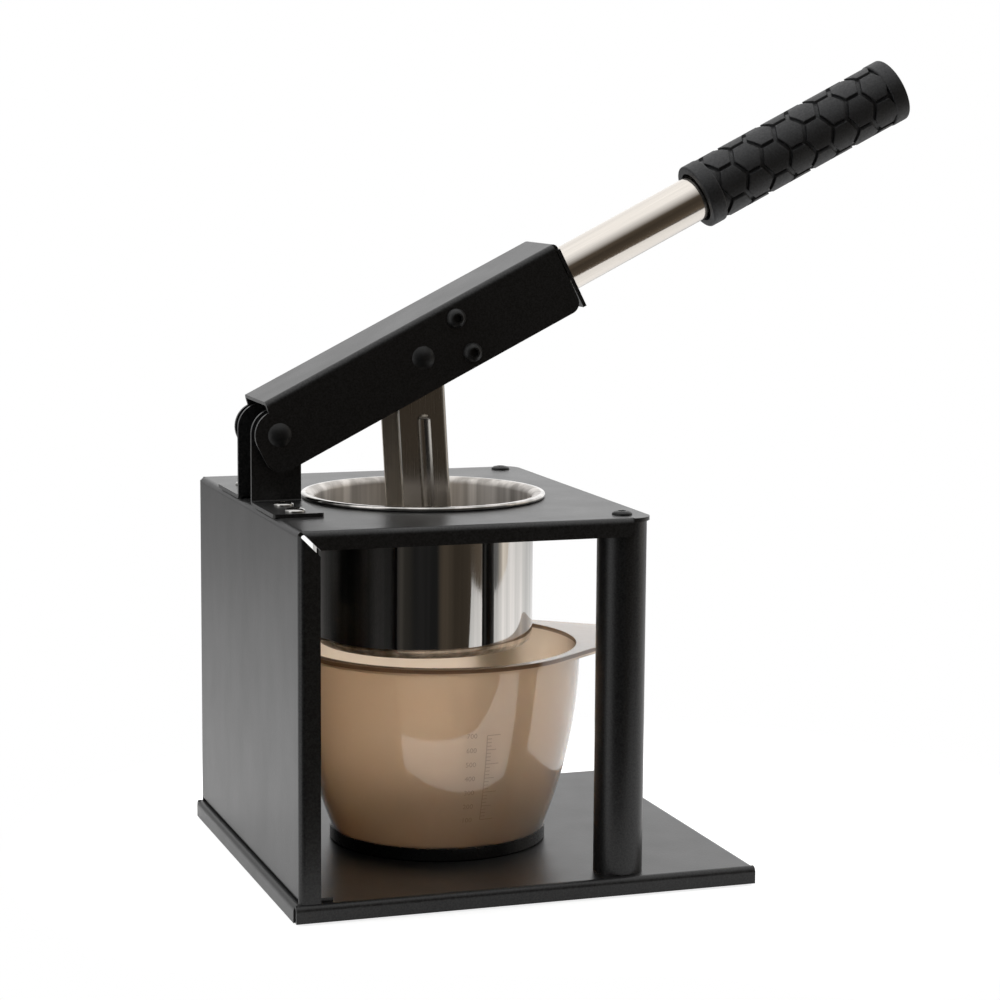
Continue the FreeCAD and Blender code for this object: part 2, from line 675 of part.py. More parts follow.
def spout(inset):
    upper = Part.makeCircle(SPOUT_RADIUS - inset, V(SPOUT_RADIUS - SPOUT_REACH, 0, JUG_TOP))
    low = JUG_TOP - SPOUT_DROP + inset
    foot = V(SPOUT_FOOT + inset - jug_side(0, low), 0, low)
    lower = Part.makeCircle(SPOUT_FOOT, foot)
    return Part.makeLoft([Part.Wire(upper), Part.Wire(lower)], True, True)


def jug_blank(inset, low):
    """The round body from a height up to the rim, solid."""
    middle = (low + JUG_TOP) / 2
    profile = Outline(in_xz(), (0, low)).line((jug_side(inset, low), low))
    profile.arc((jug_side(inset, middle), middle), (jug_side(inset, JUG_TOP), JUG_TOP))
    return profile.line((0, JUG_TOP)).turned()


def jug_body():
    foot = BASE_TOP + RING_FOOT
    seat = RING_RADIUS - RING_WALL
    neck = cylinder(seat, (0, 0, foot), Z_AXIS, RING_HEIGHT)
    plate = jug_slab(0, JUG_TOP - LIP_SHEET, JUG_TOP)
    skirt_low = JUG_TOP - JUG_RIM_DROP
    skirt = jug_slab(0, skirt_low, JUG_TOP).cut(jug_slab(RIM_SHEET, skirt_low, JUG_TOP))
    outside = joined([jug_blank(0, BASE_TOP + RING_HEIGHT), neck, plate, skirt, spout(0)])
    floor = foot + JUG_FLOOR
    hollow = cylinder(seat - JUG_WALL, (0, 0, floor), Z_AXIS, RING_HEIGHT)
    hollow = hollow.fuse([jug_blank(JUG_WALL, BASE_TOP + RING_HEIGHT + JUG_STEP), spout(JUG_WALL)])
    jug = outside.cut(hollow)
    jug.translate(V(JUG_X, 0, 0))
    return jug


def jug_base_ring():
    seat = RING_RADIUS - RING_WALL
    foot = BASE_TOP + RING_FOOT
    profile = Outline(in_xz(), (RING_INSIDE, BASE_TOP)).line(
        (RING_RADIUS - RING_EDGE, BASE_TOP), (RING_RADIUS, BASE_TOP + RING_EDGE),
        (RING_RADIUS, BASE_TOP + RING_HEIGHT), (seat, BASE_TOP + RING_HEIGHT), (seat, foot),
        (RING_INSIDE, foot))
    whole = profile.turned()
    whole.translate(V(JUG_X, 0, 0))
    return whole


def lever_nodes():
    nodes = {
        "lever_channel": lever_channel(),
        "pivot_pin": pin(0, 0),
        "pivot_spacers": spacers(0, 0, EAR_OUTER),
        "stem_pin": pin(STEM_PIN_ALONG, STEM_PIN_ABOVE),
        "stem_spacers": spacers(STEM_PIN_ALONG, STEM_PIN_ABOVE, STEM_DEPTH / 2),
        "tube_socket": tube_socket(),
        "handle_bolts": handle_bolts(),
        "handle_nuts": handle_nuts(),
        "handle_tube": handle_tube(),
        "handle_grip": handle_grip(),
    }
    for shape in nodes.values():
        shape.rotate(V(0, 0, 0), Y_AXIS, -LEVER_ANGLE)
        shape.translate(PIVOT)
    return nodes


def pusher_nodes():
    angle = math.radians(LEVER_ANGLE)
    x = STEM_PIN_ALONG * math.cos(angle) - STEM_PIN_ABOVE * math.sin(angle)
    z = STEM_PIN_ALONG * math.sin(angle) + STEM_PIN_ABOVE * math.cos(angle)
    nodes = {"pusher_stem": pusher_stem(), "pusher_disc": pusher_disc()}
    for shape in nodes.values():
        shape.rotate(V(0, 0, 0), Y_AXIS, -STEM_LEAN)
        shape.translate(PIVOT + V(x, 0, z))
    return nodes


def frame_nodes():
    front = bracket()
    return {
        "base_plate": base_plate(),
        "rubber_feet": rubber_feet(),
        "body_shell": body_shell(),
        "post_front": post(-1),
        "post_back": post(1),
        "post_plugs": post_plugs(),
        "post_top_screws": post_top_screws(),
        "post_bottom_screws": post_bottom_screws(),
        "wall_screws": wall_screws(),
        "wall_nuts": wall_nuts(),
        "bracket_front": front,
        "bracket_back": mirrored(front),
        "bracket_screws": bracket_screws(),
        "bracket_nuts": bracket_nuts(),
    }


def right_end():
    """The outermost point of the grip, in X."""
    angle = math.radians(LEVER_ANGLE)
    along, below = GRIP_START + GRIP_LENGTH - GRIP_EDGE, GRIP_RING - GRIP_EDGE - TUBE_ABOVE
    return PIVOT_X + along * math.cos(angle) + below * math.sin(angle) + GRIP_EDGE


def main():
    os.makedirs("parts", exist_ok=True)
    nodes = frame_nodes()
    nodes.update(lever_nodes())
    nodes.update(pusher_nodes())
    nodes["strainer_cup"] = strainer_cup()
    nodes["jug_body"] = jug_body()
    nodes["jug_base_ring"] = jug_base_ring()
    middle = (BASE_LEFT + right_end()) / 2
    for name, shape in nodes.items():
        shape.translate(V(-middle, 0, 0))
        shape.exportStep("parts/" + name + ".step")


main()
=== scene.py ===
import math

import bmesh
import bpy
from mathutils import Matrix, Vector


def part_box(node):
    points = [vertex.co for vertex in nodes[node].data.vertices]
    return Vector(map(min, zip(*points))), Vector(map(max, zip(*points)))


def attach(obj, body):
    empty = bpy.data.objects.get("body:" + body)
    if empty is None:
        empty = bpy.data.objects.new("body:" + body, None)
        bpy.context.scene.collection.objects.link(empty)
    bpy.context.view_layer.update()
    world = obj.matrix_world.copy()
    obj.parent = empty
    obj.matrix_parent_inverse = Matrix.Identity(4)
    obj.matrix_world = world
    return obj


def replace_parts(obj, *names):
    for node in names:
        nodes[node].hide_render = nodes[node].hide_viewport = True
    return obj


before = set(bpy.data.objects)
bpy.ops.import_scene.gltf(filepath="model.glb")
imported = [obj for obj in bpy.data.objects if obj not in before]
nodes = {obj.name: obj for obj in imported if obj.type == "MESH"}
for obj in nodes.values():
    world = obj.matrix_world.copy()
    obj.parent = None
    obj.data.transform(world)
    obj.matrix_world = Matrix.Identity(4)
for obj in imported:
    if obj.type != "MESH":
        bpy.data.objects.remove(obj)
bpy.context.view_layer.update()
MM = 0.001

# Camera, fitted to the photograph
CAMERA_PLACE = (-510.58 * MM, -1357.3 * MM, 389.9 * MM)
CAMERA_YAW = -18.88
CAMERA_PITCH = 7.80
CAMERA_ROLL = 0.42
LENS = 95.85
SENSOR = 36
NEAREST, FARTHEST = 0.05, 50

# Lever
LEVER_ANGLE = math.radians(27)

# Strainer cup: a drawn cup whose flared lip ends in a thin rolled edge
CUP_RADIUS = 59.3 * MM
CUP_SHEET = 1.0 * MM
CUP_CORNER = 6.0 * MM
CUP_BEAD = 1.25 * MM
CUP_FLAT = 0.55 * MM
CUP_FLARE_DROP = 1.0 * MM
CUP_SEAT = 0.1 * MM
DRAIN_RADIUS = 2.0 * MM
DRAIN_PITCH = 12.0 * MM
DRAIN_RINGS = 4
DRAIN_SIDES = 20
DRAIN_CUT = 6.0 * MM

# How finely round forms are divided, and the angle from which an edge stays sharp
ROUND_STEPS = 192
SCREW_STEPS = 48
CORNER_STEPS = 8
FLARE_STEPS = 10
BEAD_STEPS = 14
SHARP_ANGLE = math.radians(35)

# Low button heads of the post screws and the bracket screws
BUTTON_RADIUS = 5.25 * MM
BUTTON_HEIGHT = 1.9 * MM
BUTTON_RIM = 0.5 * MM
BUTTON_FLAT = 2.9 * MM
SCREW_RADIUS = 3.0 * MM
SOCKET_FLATS = 4.0 * MM
SOCKET_DEPTH = 1.2 * MM
BRACKET_SHEET = 2.0 * MM
BRACKET_SCREW_PITCH = 24.2 * MM

# Measuring jug, as the CAD model has it
JUG_TOP_RADIUS = 77.2 * MM
JUG_SIDE_ARC = 272 * MM
JUG_TOP = 117.5 * MM

# The jug's plastic: a dark band painted round its top as painted shade, where light runs the long way through
# the rim, a foot darkened as painted shade over the black base, and how strongly it dims light per metre
JUG_GLOSS = 1.75
JUG_RIM_SHADE_WIDTH = 2.4 * MM
JUG_RIM_SHADE_COLOUR = (0.20, 0.14, 0.10)
JUG_RIM_SHADE_FADE = ((0.48, 0.0), (0.56, 1.0), (0.92, 1.0), (0.97, 0.6))
JUG_FOOT_DARK = 12 * MM
JUG_FOOT_CLEAR = 62 * MM
JUG_FOOT_SHADE_COLOUR = (0.62, 0.52, 0.43)
JUG_SMOKE = 60.0
JUG_SMOKE_TINT = (0.72, 0.46, 0.12)

# Stage: a white sheet, and a room that is white behind and dark on the camera's side
FLOOR_EDGE = ((-4.0, 1.18), (-0.027, -0.248), (0.25, -0.525), (0.62, -0.14), (4.0, 1.05))
FLOOR_BACK = 4.0
FLOOR_GLOW = 0.8
FLOOR_SHINE = 0.55
SHINE_START = 0.25
SHINE_END = 1.2
FADE_START = 0.24
FADE_END = 0.32
WORLD_LIGHT = 0.75
WORLD_GLOSS = 1.3

# Soft lamps: name, place, width and height in metres, and power; all of them face AIM
AIM = (0, 0, 0.15)
LAMPS = (("left", (-1.6, 0.3, 1.0), (1.0, 1.2), 16),
         ("top", (0.0, 0.4, 1.9), (1.4, 1.0), 18),
         ("right", (1.6, 0.2, 0.9), (0.9, 1.0), 12))

# The room around the press as directions in degrees, 0 being its right and 90 behind it, and colours
WARM = (1.0, 0.80, 0.60)
CREAM = (1.0, 0.93, 0.83)
GREY = (1.0, 1.0, 1.0)
STUDIO = ((-180, 0.70, GREY), (-168, 1.10, GREY), (-156, 0.80, GREY), (-145, 0.36, GREY),
          (-140, 0.02, GREY), (-135, 0.015, GREY), (-130, 0.045, CREAM), (-124, 0.032, CREAM),
          (-114, 0.014, GREY), (-93, 0.015, GREY), (-86, 0.065, WARM), (-79, 0.065, WARM),
          (-71, 0.040, WARM), (-60, 0.052, WARM), (-47, 0.09, WARM), (-32, 0.12, GREY),
          (-23, 0.16, GREY), (-18, 0.36, CREAM), (-14, 0.62, CREAM), (3, 0.54, CREAM),
          (25, 0.66, GREY), (58, 0.95, GREY), (80, 0.9, GREY), (108, 0.4, GREY), (150, 0.3, GREY))
ROOF = 0.9
ROOF_LOW = 0.35
ROOF_HIGH = 0.92

# The jug's scale, in degrees from straight ahead and heights above the table
SCALE_LINE = 2.8
SCALE_NUMBERS = -3.6
SCALE_START = 33.5 * MM
SCALE_STEP = 7.9 * MM
SCALE_COUNT = 7
SCALE_STROKE = 0.4 * MM
SCALE_CLEAR = 0.02 * MM
SCALE_PROUD = 0.12 * MM
SCALE_NARROW = 1.5
LINE_STEPS, TICK_STEPS = 16, 6
TICK_SHORT, TICK_MIDDLE, TICK_LONG = 2.6 * MM, 5.4 * MM, 7.4 * MM
NUMBER_HEIGHT = 2.7 * MM
NUMBER_SIZE = 1.4 * NUMBER_HEIGHT

# The CAD pieces that the drawn ones follow
CUP_LOW, CUP_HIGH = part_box("strainer_cup")
CUP_AXIS = (CUP_LOW.x + CUP_HIGH.x) / 2
CUP_RIM = (CUP_HIGH.x - CUP_LOW.x) / 2
RING_LOW, RING_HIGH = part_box("jug_base_ring")
JUG_AXIS = (RING_LOW.x + RING_HIGH.x) / 2
PLATE_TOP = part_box("body_shell")[1].z


# Materials


class Surface:
    """A material under construction: its shader and short ways to add nodes."""

    def __init__(self, name, **values):
        self.material = bpy.data.materials.new(name)
        self.material.use_nodes = True
        self.tree = self.material.node_tree
        self.shader = self.tree.nodes["Principled BSDF"]
        for key, value in values.items():
            self.shader.inputs[key.replace("_", " ")].default_value = value
        self.place = self.add("ShaderNodeTexCoord").outputs["Object"]

    def add(self, kind, **inputs):
        node = self.tree.nodes.new(kind)
        for key, value in inputs.items():
            self.feed(node.inputs[key.replace("_", " ")], value)
        return node

    def feed(self, socket, value):
        if isinstance(value, bpy.types.NodeSocket):
            self.tree.links.new(value, socket)
        else:
            socket.default_value = value

    def noise(self, scale, detail=3.0, stretch=(1, 1, 1), turn=0.0):
        """Noise in the object's own metres, drawn out along an axis by a small stretch."""
        mapping = self.add("ShaderNodeMapping", Vector=self.place, Scale=stretch)
        if turn:
            turned = self.add("ShaderNodeMapping", Vector=self.place, Rotation=(0, turn, 0))
            self.feed(mapping.inputs["Vector"], turned.outputs["Vector"])
        texture = self.add("ShaderNodeTexNoise", Vector=mapping.outputs["Vector"], Scale=scale, Detail=detail)
        return texture.outputs["Fac"]

    def ramp(self, factor, *stops):
        """A colour ramp: each stop is a place and a colour or grey."""
        node = self.add("ShaderNodeValToRGB", Fac=factor)
        marks = node.color_ramp.elements
        for index, (at, colour) in enumerate(stops):
            mark = marks[index] if index < 2 else marks.new(at)
            mark.position = at
            mark.color = (*colour, 1) if isinstance(colour, tuple) else (colour, colour, colour, 1)
        return node.outputs["Color"]

    def blend(self, factor, first, second):
        node = self.add("ShaderNodeMix", Factor=factor)
        node.data_type = "RGBA"
        self.feed(node.inputs["A"], first)
        self.feed(node.inputs["B"], second)
        return node.outputs["Result"]

    def maths(self, kind, operation, *values):
        """A maths node; its inputs take sockets or plain values."""
        node = self.add(kind)
        node.operation = operation
        for socket, value in zip(node.inputs, values):
            self.feed(socket, value)
        return node

    def span(self, value, low, high, start=0.0, end=1.0):
        """A value that runs from start to end while another runs from low to high."""
        node = self.add("ShaderNodeMapRange", Value=value, From_Min=low, From_Max=high,
                        To_Min=start, To_Max=end)
        return node.outputs[0]

    def along(self, axis):
        """The place along one of the object's axes."""
        return self.add("ShaderNodeSeparateXYZ", Vector=self.place).outputs[axis]

    def colour(self, socket):
        self.feed(self.shader.inputs["Base Color"], socket)
        return self

    def roughness(self, socket):
        self.feed(self.shader.inputs["Roughness"], socket)
        return self

    def rounded(self, radius):
        """Edges that catch the light as if they were rounded."""
        self.feed(self.shader.inputs["Normal"], self.add("ShaderNodeBevel", Radius=radius).outputs["Normal"])
        return self

    def bump(self, height, depth, strength=1.0):
        earlier = [link.from_socket for link in self.shader.inputs["Normal"].links]
        node = self.add("ShaderNodeBump", Height=height, Distance=depth, Strength=strength)
        if earlier:
            self.feed(node.inputs["Normal"], earlier[0])
        self.feed(self.shader.inputs["Normal"], node.outputs["Normal"])
        return self


def powder_coat():
    """Fine-textured black powder coat, with slight unevenness in its gloss."""
    s = Surface("powder_black", Metallic=0.0, IOR=1.5, Specular_IOR_Level=0.42)
    grain = s.noise(1050, 2.0)
    clouds = s.ramp(s.noise(1.0, 4.0, (45, 45, 20)), (0.3, 0.29), (0.7, 0.335))
    s.colour(s.ramp(grain, (0.34, (0.0085, 0.0085, 0.0088)), (0.66, (0.0265, 0.0262, 0.0262))))
    s.roughness(s.blend(s.ramp(grain, (0.3, 0.0), (0.7, 0.35)), clouds, (0.42, 0.42, 0.42, 1)))
    return s.bump(grain, 0.00007, 0.8).material


def black_oxide():
    """Dark screws and rivets, with a dull oiled skin."""
    s = Surface("black_screw", Metallic=0.0, IOR=1.5, Specular_IOR_Level=0.3)
    s.colour(s.ramp(s.noise(500), (0.35, 0.012), (0.65, 0.018)))
    s.roughness(s.ramp(s.noise(1500), (0.3, 0.32), (0.7, 0.46)))
    return s.bump(s.noise(1200), 0.00003, 0.4).material


def plated(name, tint, low, high):
    """Bright plated steel, slightly clouded."""
    s = Surface(name, Metallic=1.0)
    s.colour(s.ramp(s.noise(300), (0.3, tuple(0.88 * c for c in tint)), (0.7, tint)))
    s.roughness(s.ramp(s.noise(900), (0.3, low), (0.7, high)))
    return s.bump(s.noise(2200), 0.00001, 0.3).material


def brushed(name, tint, stretch, low, high, turn=0.0):
    """Stainless steel with fine brush lines, which run where the stretch is small."""
    s = Surface(name, Metallic=1.0)
    lines = s.noise(1.0, 5.0, stretch, turn)
    broad = s.noise(1.0, 2.0, tuple(0.15 * v for v in stretch), turn)
    s.colour(s.ramp(lines, (0.3, tuple(0.9 * c for c in tint)), (0.7, tint)))
    s.roughness(s.ramp(broad, (0.3, low), (0.7, high)))
    return s.bump(lines, 0.00001, 0.35).material


def stem_steel():
    """Stainless steel with upright brush lines; the front is a darkened copy, painted shade, and the back
    wall is rougher and painted much lighter, painted light falling into the channel.
    """
    s = Surface("stainless_stem", Metallic=1.0)
    lines = s.noise(1.0, 5.0, (2600, 2600, 25))
    # Painted light: everything behind the middle is painted much lighter than the front, standing in for
    # light that falls into the open channel; the darker front copy is painted shade.
    behind = s.maths("ShaderNodeMath", "GREATER_THAN", s.along("Y"), 0.0).outputs[0]
    front = s.ramp(lines, (0.3, (0.40, 0.38, 0.35)), (0.7, (0.50, 0.475, 0.44)))
    back = s.ramp(lines, (0.3, (0.78, 0.72, 0.64)), (0.7, (0.92, 0.85, 0.76)))
    s.colour(s.blend(behind, front, back))
    s.roughness(s.blend(behind, s.ramp(lines, (0.3, 0.2), (0.7, 0.28)), (0.6, 0.6, 0.6, 1)))
    return s.bump(lines, 0.00001, 0.35).material


def rubber():
    """Black grip rubber, dull, with a faint moulded texture."""
    s = Surface("rubber", Metallic=0.0, IOR=1.48)
    s.colour(s.ramp(s.noise(900, 3.0), (0.34, (0.011, 0.0112, 0.0120)), (0.66, (0.0260, 0.0263, 0.0275))))
    s.roughness(s.ramp(s.noise(700), (0.3, 0.46), (0.7, 0.6)))
    return s.rounded(0.0007).bump(s.noise(1400, 3.0), 0.00006, 0.5).material


def moulded(name, dark, light, low, high):
    """Opaque moulded plastic."""
    s = Surface(name, Metallic=0.0, IOR=1.5)
    s.colour(s.ramp(s.noise(220), (0.3, dark), (0.7, light)))
    s.roughness(s.ramp(s.noise(800), (0.3, low), (0.7, high)))
    return s.bump(s.noise(1600), 0.00002, 0.4).material


def cup_steel():
    """Stainless cup: polished outside with upright streaks, brushed in rings inside; its colour carries
    upright light and dark bands, painted reflection streaks on top of the steel's uneven tone.
    """
    s = Surface("stainless_cup", Metallic=1.0, Anisotropic=0.7, Anisotropic_Rotation=0.25)
    tangent = s.add("ShaderNodeTangent")
    tangent.direction_type = "RADIAL"
    tangent.axis = "Z"
    s.feed(s.shader.inputs["Tangent"], tangent.outputs[0])
    middle = s.add("ShaderNodeCombineXYZ", X=CUP_AXIS)
    apart = s.maths("ShaderNodeVectorMath", "SUBTRACT", s.place, middle.outputs[0]).outputs[0]
    flat = s.maths("ShaderNodeVectorMath", "MULTIPLY", apart, (1, 1, 0)).outputs[0]
    radius = s.maths("ShaderNodeVectorMath", "LENGTH", flat).outputs["Value"]
    flare = PLATE_TOP - CUP_FLARE_DROP
    border = s.span(s.along("Z"), flare - CUP_SEAT, flare, CUP_RADIUS - CUP_SHEET / 2, CUP_RIM - 2 * CUP_BEAD)
    outside = s.maths("ShaderNodeMath", "GREATER_THAN", radius, border).outputs[0]
    rings = s.noise(1.0, 4.0, (3, 3, 1500))
    streaks = s.noise(1.0, 3.0, (900, 900, 6))
    # Painted reflection: the upright colour bands on both sides stand in for streaky reflections of the room,
    # on top of the steel's uneven tone.
    bands = s.noise(1.0, 3.0, (150, 150, 2))
    bright = s.ramp(bands, (0.36, (0.46, 0.43, 0.40)), (0.64, (0.80, 0.76, 0.72)))
    drawn = s.ramp(bands, (0.38, (0.46, 0.45, 0.43)), (0.62, (0.72, 0.69, 0.66)))
    s.colour(s.blend(outside, bright, drawn))
    inner = s.ramp(s.noise(1.0, 2.0, (2, 2, 300)), (0.3, 0.42), (0.7, 0.52))
    outer = s.ramp(streaks, (0.3, 0.03), (0.7, 0.06))
    s.roughness(s.blend(outside, inner, outer))
    return s.bump(s.blend(outside, rings, streaks), 0.000002, 0.2).material


def smoked_plastic(name, dark, light, clear):
    """Smoke-brown plastic that blurs what lies behind it, a little milky, with a glossy skin; painted shade
    darkens its top edge and its foot.
    """
    s = Surface(name, Metallic=0.0, IOR=1.2, Transmission_Weight=clear, Specular_IOR_Level=0.1,
                Coat_Weight=1.0, Coat_Roughness=0.01, Coat_IOR=JUG_GLOSS,
                Subsurface_Weight=1.0, Subsurface_Radius=(1.0, 0.8, 0.6), Subsurface_Scale=0.01)
    height = s.along("Z")
    # Painted shade: a dark band round the top, standing in for light that runs the long way through the rim.
    edge = s.ramp(s.span(height, JUG_TOP - 2 * JUG_RIM_SHADE_WIDTH, JUG_TOP), *JUG_RIM_SHADE_FADE)
    body = s.ramp(s.noise(14, 2.0), (0.35, dark), (0.65, light))
    # Painted shade: the colour darkens towards the foot, over the black base.
    above = s.span(height, JUG_FOOT_DARK, JUG_FOOT_CLEAR)
    body = s.blend(above, (*JUG_FOOT_SHADE_COLOUR, 1), body)
    s.colour(s.blend(edge, body, (*JUG_RIM_SHADE_COLOUR, 1)))
    s.roughness(s.ramp(s.noise(260), (0.3, 0.48), (0.7, 0.56)))
    smoke = s.add("ShaderNodeVolumeAbsorption", Color=(*JUG_SMOKE_TINT, 1), Density=JUG_SMOKE)
    s.feed(s.tree.nodes["Material Output"].inputs["Volume"], smoke.outputs[0])
    return s.bump(s.noise(22, 1.0, (1, 1, 0.4)), 0.0004, 0.05).material


COAT = powder_coat()
OXIDE = black_oxide()
ZINC = plated("zinc", (0.62, 0.63, 0.64), 0.24, 0.36)
BRIGHT = plated("bright_steel", (0.60, 0.59, 0.57), 0.12, 0.2)
ALUMINIUM = brushed("socket_aluminium", (0.6, 0.6, 0.6), (2500, 60, 2500), 0.3, 0.4)
CUP_STEEL = cup_steel()
DISC_STEEL = brushed("stainless_disc", (0.72, 0.68, 0.62), (9, 9, 2600), 0.2, 0.28)
STEM_STEEL = stem_steel()
TUBE_STEEL = brushed("polished_steel", (0.78, 0.73, 0.67), (18, 2200, 2200), 0.09, 0.15, LEVER_ANGLE)
RUBBER = rubber()
NYLON = moulded("nylon", 0.012, 0.02, 0.4, 0.5)
RING = moulded("black_plastic", 0.006, 0.011, 0.25, 0.36)
JUG = smoked_plastic("smoked_plastic", (0.95, 0.79, 0.645), (0.98, 0.835, 0.69), 0.75)
MARKS = smoked_plastic("scale_plastic", (0.70, 0.61, 0.52), (0.76, 0.66, 0.57), 0.05)
NUMBERS = smoked_plastic("number_plastic", (0.62, 0.52, 0.43), (0.68, 0.58, 0.49), 0.05)

FINISHES = {
    COAT: ("base_plate", "body_shell", "post_front", "post_back", "bracket_front", "bracket_back",
           "lever_channel"),
    OXIDE: ("pivot_pin", "stem_pin", "post_top_screws", "post_bottom_screws", "handle_bolts"),
    ZINC: ("post_plugs", "wall_screws", "wall_nuts", "bracket_nuts", "handle_nuts"),
    BRIGHT: ("bracket_screws",),
    ALUMINIUM: ("tube_socket",),
    CUP_STEEL: ("strainer_cup",),
    DISC_STEEL: ("pusher_disc",),
    STEM_STEEL: ("pusher_stem",),
    TUBE_STEEL: ("handle_tube",),
    RUBBER: ("rubber_feet", "handle_grip"),
    NYLON: ("pivot_spacers", "stem_spacers"),
    RING: ("jug_base_ring",),
    JUG: ("jug_body",),
}


def dress_frame():
    for material, names in FINISHES.items():
        for name in names:
            nodes[name].data.materials.clear()
            nodes[name].data.materials.append(material)


# Round pieces, turned from an outline


def arc(middle, across, up, start, end, steps):
    """Points on a quarter or half of an ellipse, by angles in degrees."""
    points = []
    for step in range(steps + 1):
        angle = math.radians(start + (end - start) * step / steps)
        points.append((middle[0] + across * math.cos(angle), middle[1] + up * math.sin(angle)))
    return points


def six_sided(angle):
    """How much further out a hexagon lies in this direction than in the middle of its sides."""
    sixth = math.pi / 3
    return 1 / math.cos(angle % sixth - sixth / 2)


def turned(name, outline, axis, steps=ROUND_STEPS, hexagons=()):
    """A closed mesh of revolution; outline points in hexagons give rings with six flat sides."""
    form = bmesh.new()
    rings = []
    for index, (radius, height) in enumerate(outline):
        if radius == 0:
            rings.append([form.verts.new((axis[0], axis[1], height))])
            continue
        ring = []
        for step in range(steps):
            angle = 2 * math.pi * step / steps
            reach = radius * (six_sided(angle) if index in hexagons else 1)
            x, y = axis[0] + reach * math.cos(angle), axis[1] + reach * math.sin(angle)
            ring.append(form.verts.new((x, y, height)))
        rings.append(ring)
    for low, high in zip(rings, rings[1:]):
        for step in range(steps):
            after = (step + 1) % steps
            if len(low) == 1:
                form.faces.new((low[0], high[after], high[step]))
            elif len(high) == 1:
                form.faces.new((low[step], low[after], high[0]))
            else:
                form.faces.new((low[step], low[after], high[after], high[step]))
    bmesh.ops.recalc_face_normals(form, faces=form.faces)
    mesh = bpy.data.meshes.new(name)
    form.to_mesh(mesh)
    form.free()
    piece = bpy.data.objects.new(name, mesh)
    bpy.context.scene.collection.objects.link(piece)
    return piece


def finished(piece, material, body, node):
    """Smooth shading, material and place in the assembly for a piece that stands for a node."""
    piece.data.shade_smooth()
    piece.data.set_sharp_from_angle(angle=SHARP_ANGLE)
    piece.data.materials.append(material)
    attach(piece, body)
    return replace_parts(piece, node)


def cup_outline():
    """From the middle of the underside, out and up to the lip, and back down inside."""
    inside = CUP_RADIUS - CUP_SHEET
    corner = (CUP_RADIUS - CUP_CORNER, CUP_LOW.z + CUP_CORNER)
    bead = (CUP_RIM - CUP_BEAD, PLATE_TOP + CUP_SEAT + CUP_BEAD)
    flare = (bead[0] - CUP_FLAT, PLATE_TOP - CUP_FLARE_DROP)
    rise = bead[1] + CUP_BEAD - flare[1]
    points = [(0, CUP_LOW.z)]
    points += arc(corner, CUP_CORNER, CUP_CORNER, -90, 0, CORNER_STEPS)
    points += arc(flare, flare[0] - CUP_RADIUS, rise - CUP_SHEET, 180, 90, FLARE_STEPS)
    points += arc(bead, CUP_BEAD, CUP_BEAD, -150, 90, BEAD_STEPS)
    points += arc(flare, flare[0] - inside, rise, 90, 180, FLARE_STEPS)
    points += arc(corner, CUP_CORNER - CUP_SHEET, CUP_CORNER - CUP_SHEET, 0, -90, CORNER_STEPS)
    return points + [(0, CUP_LOW.z + CUP_SHEET)]


def strainer_cup():
    """The cup, with rings of drain holes cut through its floor."""
    cup = turned("strainer_cup_drawn", cup_outline(), (CUP_AXIS, 0))
    places = [(0, 0)]
    for row in range(1, DRAIN_RINGS + 1):
        for place in range(6 * row):
            angle = math.radians(60 * place / row)
            places.append((row * DRAIN_PITCH * math.cos(angle), row * DRAIN_PITCH * math.sin(angle)))
    form = bmesh.new()
    for x, y in places:
        made = bmesh.ops.create_cone(form, cap_ends=True, segments=DRAIN_SIDES, radius1=DRAIN_RADIUS,
                                     radius2=DRAIN_RADIUS, depth=DRAIN_CUT)
        bmesh.ops.translate(form, verts=made["verts"], vec=(CUP_AXIS + x, y, CUP_LOW.z))
    holes = bpy.data.meshes.new("drain_holes")
    form.to_mesh(holes)
    form.free()
    cutter = bpy.data.objects.new("drain_holes", holes)
    bpy.context.scene.collection.objects.link(cutter)
    cut = cup.modifiers.new("drain", "BOOLEAN")
    cut.object = cutter
    cut.solver = "FAST"
    drilled = bpy.data.meshes.new_from_object(cup.evaluated_get(bpy.context.evaluated_depsgraph_get()))
    cup.modifiers.clear()
    cup.data = drilled
    bpy.data.objects.remove(cutter)
    finished(cup, CUP_STEEL, "cup", "strainer_cup")


def button_screw(name, place, seat, foot, material, node):
    """A screw with a low button head and a hexagon socket; seat is the height its head rests on."""
    top = seat + BUTTON_HEIGHT
    swell = math.acos(BUTTON_FLAT / BUTTON_RADIUS)
    dome = (BUTTON_HEIGHT - BUTTON_RIM) / math.sin(swell)
    outline = [(0, foot), (SCREW_RADIUS, foot), (SCREW_RADIUS, seat), (BUTTON_RADIUS, seat)]
    outline += arc((0, seat + BUTTON_RIM), BUTTON_RADIUS, dome, 0, math.degrees(swell), CORNER_STEPS)
    inner = len(outline)
    outline += [(SOCKET_FLATS / 2, top), (SOCKET_FLATS / 2, top - SOCKET_DEPTH), (0, top - SOCKET_DEPTH)]
    screw = turned(name, outline, place, SCREW_STEPS, (inner, inner + 1))
    finished(screw, material, "frame", node)


def button_pair(name, node, material, slot, seat, inward=0.0):
    """One screw in front and one behind, some way inward from the outermost screws of the node."""
    low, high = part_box(node)
    reach = high.y - BUTTON_RADIUS - inward
    for side, y in (("front", -reach), ("back", reach)):
        place = ((low.x + high.x) / 2, y)
        button_screw(name.format(side), place, seat, low.z, material, node)


def button_screws():
    """The low heads on top of both posts and on the feet of both brackets."""
    button_pair("post_top_screw_{}", "post_top_screws", OXIDE, "black_screw", PLATE_TOP)
    bracket = ("bracket_screws", BRIGHT, "bright_steel", PLATE_TOP + BRACKET_SHEET)
    button_pair("bracket_screw_{}_1", *bracket)
    button_pair("bracket_screw_{}_2", *bracket, BRACKET_SCREW_PITCH)


# The jug's scale: a line, ticks and numbers that lie on the curved side


